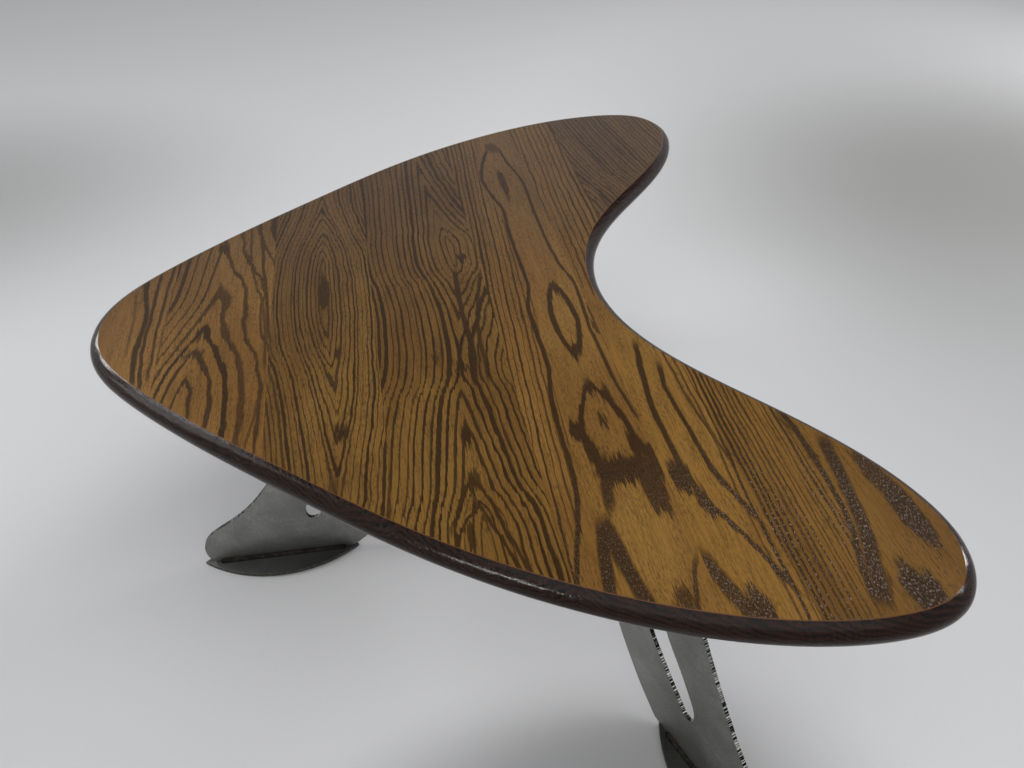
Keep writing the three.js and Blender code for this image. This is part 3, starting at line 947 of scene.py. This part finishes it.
def weld_parts(start, stop, z, side, up):
    """A run of overlapping crescents in the corner between the two plates."""
    inside = LEG_THICKNESS / 2 + CLEARANCE
    count = int((stop - start) / WELD_STEP)
    vertices, faces = [], []
    for i in range(count + 1):
        s = start + (stop - start) * i / count
        fade = min(1.0, 0.35 + min(s - start, stop - s) / WELD_FADE)
        for out, rise in WELD_SECTION:
            lag = 1.6 * math.sin(math.pi * rise / WELD_LEG)
            ripple = 1 - 0.10 * abs(math.sin(math.pi * (s - lag) / WELD_PITCH))
            size = fade * ripple if out + rise > 0 else 1.0
            vertices.append((s, side * (inside + out * size), z + up * (CLEARANCE + rise * size)))
    width = len(WELD_SECTION)
    for i in range(count):
        faces += band(i * width, width)
    faces.append(tuple(range(width)))
    faces.append(tuple(range(count * width, (count + 1) * width))[::-1])
    return vertices, faces


def screw_parts(x, y):
    """A button-head screw with a hex socket, head down."""
    seat = MOUNT_BOTTOM_Z - LENS_GAP
    turn = np.linspace(0, math.tau, SCREW_SIDES, endpoint=False)
    hexagon = [HEX_HALF_WIDTH / math.cos((t % (math.tau / 6)) - math.tau / 12) for t in turn]
    dome = [(SCREW_HEAD_RADIUS * math.cos(a), -0.35 - 2.85 * math.sin(a))
            for a in np.linspace(0, 1.12, 6)]
    # (radius, height over the seat), from the socket's floor round the head to the point
    rings = [("hex", -1.3), ("hex", -2.95), *dome[::-1], (SCREW_HEAD_RADIUS, -0.1),
             (SCREW_SHANK_RADIUS, -0.1)]
    for i in range(THREAD_TURNS):
        rings += [(SCREW_SHANK_RADIUS, 4.0 + i), (THREAD_ROOT_RADIUS, 4.5 + i)]
    rings += [(1.2, 21.0), (0.3, 22.0)]
    vertices = []
    for radius, height in rings:
        for t, corner in zip(turn, hexagon):
            r = corner if radius == "hex" else radius
            vertices.append((x + r * math.cos(t), y + r * math.sin(t), seat + height))
    faces = [tuple(range(SCREW_SIDES))]
    for i in range(len(rings) - 1):
        faces += band(i * SCREW_SIDES, SCREW_SIDES)
    faces.append(tuple(range((len(rings) - 1) * SCREW_SIDES, len(rings) * SCREW_SIDES))[::-1])
    return vertices, faces


def add_piece(node, suffix, leg, shape, materials, sharp=25):
    """Makes a piece of a leg. shape: vertices as (s, across, z), faces and perhaps their slots."""
    vertices, faces, *slots = shape
    spots = [(*placed(leg, s, across), z) for s, across, z in vertices]
    piece = make_object(f"{node}_{suffix}", spots, faces, materials, *slots, sharp_degrees=sharp)
    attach(piece, "root")
    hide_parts(node)


def build_legs():
    plate_steel = ground_steel("ground_steel", 1, (136, 136, 132), 0.44)
    foot_steel = ground_steel("ground_steel_foot", 5, (70, 70, 69), 0.50)
    lens_steel = [foot_steel, rim_steel()]
    weld = weld_steel()
    screw_steel = black_steel()
    pad = felt()
    solid = LENS_THICKNESS - LENS_GAP
    mount_shift = MOUNT_CENTRE_S - LENS_LENGTH / 2
    for number, (name, leg) in enumerate(LEGS.items()):
        _, _, bearing, shift = leg
        vertices, faces, slots = leg_plate_parts(number * 7 + 3)
        upright = [(s, -h, z) for s, z, h in vertices]
        # The apex leg's cut edge gets dimmer drag lines: painted shade on that edge.
        edge_steel = cut_steel(f"cut_steel_{name}", bearing, 0.4 if name == "apex" else 1.0)
        add_piece(f"{name}_leg_plate", "ground", leg, (upright, faces, slots),
                  [plate_steel, edge_steel])
        shape = lens_parts(FELT_THICKNESS + LENS_GAP, shift, 0, solid, LENS_CHAMFER)
        add_piece(f"{name}_foot_plate", "ground", leg, shape, lens_steel)
        shape = lens_parts(0, shift, FELT_INSET, FELT_THICKNESS, FELT_ROUND)
        add_piece(f"{name}_foot_felt", "pad", leg, shape, [pad, pad], 50)
        shape = lens_parts(MOUNT_BOTTOM_Z, mount_shift, 0, solid, LENS_CHAMFER, screw_centres())
        add_piece(f"{name}_mount_plate", "ground", leg, shape, lens_steel)
        runs = {
            "foot": (shift + FOOT_WELD_INSET, FOOT_TOE_S - WELD_INSET, FOOT_TOP_Z, 1),
            "mount": (MOUNT_HEEL_S + WELD_INSET, MOUNT_TOE_S - WELD_INSET, MOUNT_BOTTOM_Z, -1)}
        for hand, side in (("left", 1), ("right", -1)):
            for end, (start, stop, z, up) in runs.items():
                shape = weld_parts(start, stop, z, side, up)
                add_piece(f"{name}_{end}_weld_{hand}", "bead", leg, shape, [weld], 40)
        for i, (s, across) in enumerate(screw_centres()):
            shape = screw_parts(s, across)
            add_piece(f"{name}_screw_{i + 1}", "hex", leg, shape, [screw_steel], 30)


# ---- Room ----
FLOOR_RADIUS = 14000
FLOOR_SIDES = 96
LEFT_EDGE = (-0.3, -0.2, 0.43)
RIGHT_TIP = (0.38, -0.45, 0.43)
LIGHTS = [  # name, place, target, width and height in metres, watts, what it reaches
    ("key_overhead", (0.1, -1.3, 2.4), (0, -0.1, 0.3), 2.4, 2.4, 21, "all"),
    ("back_softbox", (2.0, 1.1, 2.4), (0.1, -0.1, 0.2), 1.0, 1.0, 26, "diffuse"),
    ("left_softbox", (-2.8, 0.35, 2.1), (0, 0, 0.4), 1.0, 1.8, 22, "all"),
    ("right_softbox", (2.9, 1.0, 1.2), (0.2, 0, 0.4), 1.0, 1.4, 18, "diffuse"),
    ("left_strip_low", (-2.3, 2.1, 1.5), LEFT_EDGE, 0.4, 0.8, 12, "gloss"),
    ("left_strip_middle", (-2.3, 1.5, 2.0), LEFT_EDGE, 0.4, 0.8, 20, "gloss"),
    ("left_strip_high", (-2.3, 0.9, 2.5), LEFT_EDGE, 0.4, 0.8, 8, "gloss"),
    ("left_strip_front", (-1.8, -2.0, 1.75), (0.03, -0.43, 0.42), 0.8, 0.3, 32, "gloss"),
    ("right_strip_low", (3.04, 0.58, 1.35), RIGHT_TIP, 0.35, 0.5, 13, "gloss"),
    ("right_strip_high", (2.85, -0.33, 2.13), RIGHT_TIP, 0.3, 0.5, 6, "gloss")]


def area_light(name, at, target, width, height, watts, reaches):
    data = bpy.data.lights.new(name, "AREA")
    data.shape = "RECTANGLE"
    data.size, data.size_y = width, height
    data.energy = watts
    light = add_object(name, data)
    light.location = at
    light.rotation_mode = "QUATERNION"
    light.rotation_quaternion = (Vector(target) - Vector(at)).to_track_quat("-Z", "Y")
    light.visible_diffuse = reaches != "gloss"
    light.visible_glossy = reaches != "diffuse"


def floor_paint():
    """Pale and dusty, with painted light and shade: the soft uneven light of a studio sweep, and
    the table's shadow under its near arm.
    """
    s = Shader("pale_floor")

    def patch(x, y, half_x, half_y, outer, inner):
        """1 inside an ellipse and 0 outside; outer and inner are fractions of its half sizes."""
        away = (((s.x - x) / half_x) ** 2.0 + ((s.y - y) / half_y) ** 2.0).sqrt()
        return away.step(outer, inner)

    dust = s.noise(s.x / 3, s.y / 3, 0.0, 3.0)
    paint = s.mix(dust, colour(219, 219, 220), colour(225, 225, 226))
    # Painted shade in the far right, far left and right-hand patches, a painted pool of light in
    # the notch and a painted shadow under the near arm.
    far_right_shade = patch(1500, 950, 900, 700, 1.3, 0.1)
    notch_light = patch(520, 420, 420, 420, 1.2, 0.2)
    far_left_shade = patch(-1300, 1300, 900, 650, 1.3, 0.1)
    right_hand_shade = patch(1500, 700, 1000, 1500, 1.4, 0.3)
    under_arm_shadow = patch(100, -460, 340, 190, 1.2, 0.3)
    paint = s.mix(far_right_shade * 0.8, paint, colour(176, 177, 172))
    paint = s.mix(notch_light * 0.8, paint, colour(228, 228, 229))
    paint = s.mix(far_left_shade * 0.9, paint, colour(174, 175, 174))
    paint = s.mix(right_hand_shade, paint, (0.6, 0.6, 0.6, 1), "MULTIPLY")
    paint = s.mix(under_arm_shadow, paint, (0.55, 0.55, 0.55, 1), "MULTIPLY")
    return s.surface(Base_Color=paint, Roughness=0.8, Normal=s.bump(dust, 0.1, 0.1),
                     Specular_IOR_Level=0.1)


def build_world():
    """Even light from all round, but dim overhead beyond the table, over a low bright wall."""
    world = bpy.data.worlds.new("studio")
    bpy.context.scene.world = world
    world.use_nodes = True
    tree = world.node_tree
    background = tree.nodes["Background"]
    background.inputs["Color"].default_value = (0.97, 0.98, 1.0, 1)
    coordinates = tree.nodes.new("ShaderNodeTexCoord")
    split = tree.nodes.new("ShaderNodeSeparateXYZ")
    tree.links.new(coordinates.outputs["Generated"], split.inputs[0])
    ahead = Field(tree, split.outputs[1])
    height = Field(tree, split.outputs[2])
    dim = ahead.step(-0.05, 0.45) * height.step(0.34, 0.50)
    wall = ahead.step(0.40, 0.80) * height.step(0.28, 0.34) * height.step(0.46, 0.38)
    feed(tree, background.inputs["Strength"], 0.56 - dim * 0.50 + wall * 0.75)


def build_room():
    rim = [(*spot, 0) for spot in circle(0, 0, FLOOR_RADIUS, FLOOR_SIDES)]
    floor = make_object("floor", rim, [tuple(range(FLOOR_SIDES))], [floor_paint()])
    build_world()
    for light in LIGHTS:
        area_light(*light)


bpy.context.scene.view_settings.view_transform = "Standard"
build_top()
build_legs()
biscuit_wood = beech()
for node_name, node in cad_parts.items():
    if node_name.startswith("biscuit_"):
        node.data.materials.clear()
        node.data.materials.append(biscuit_wood)
build_room()
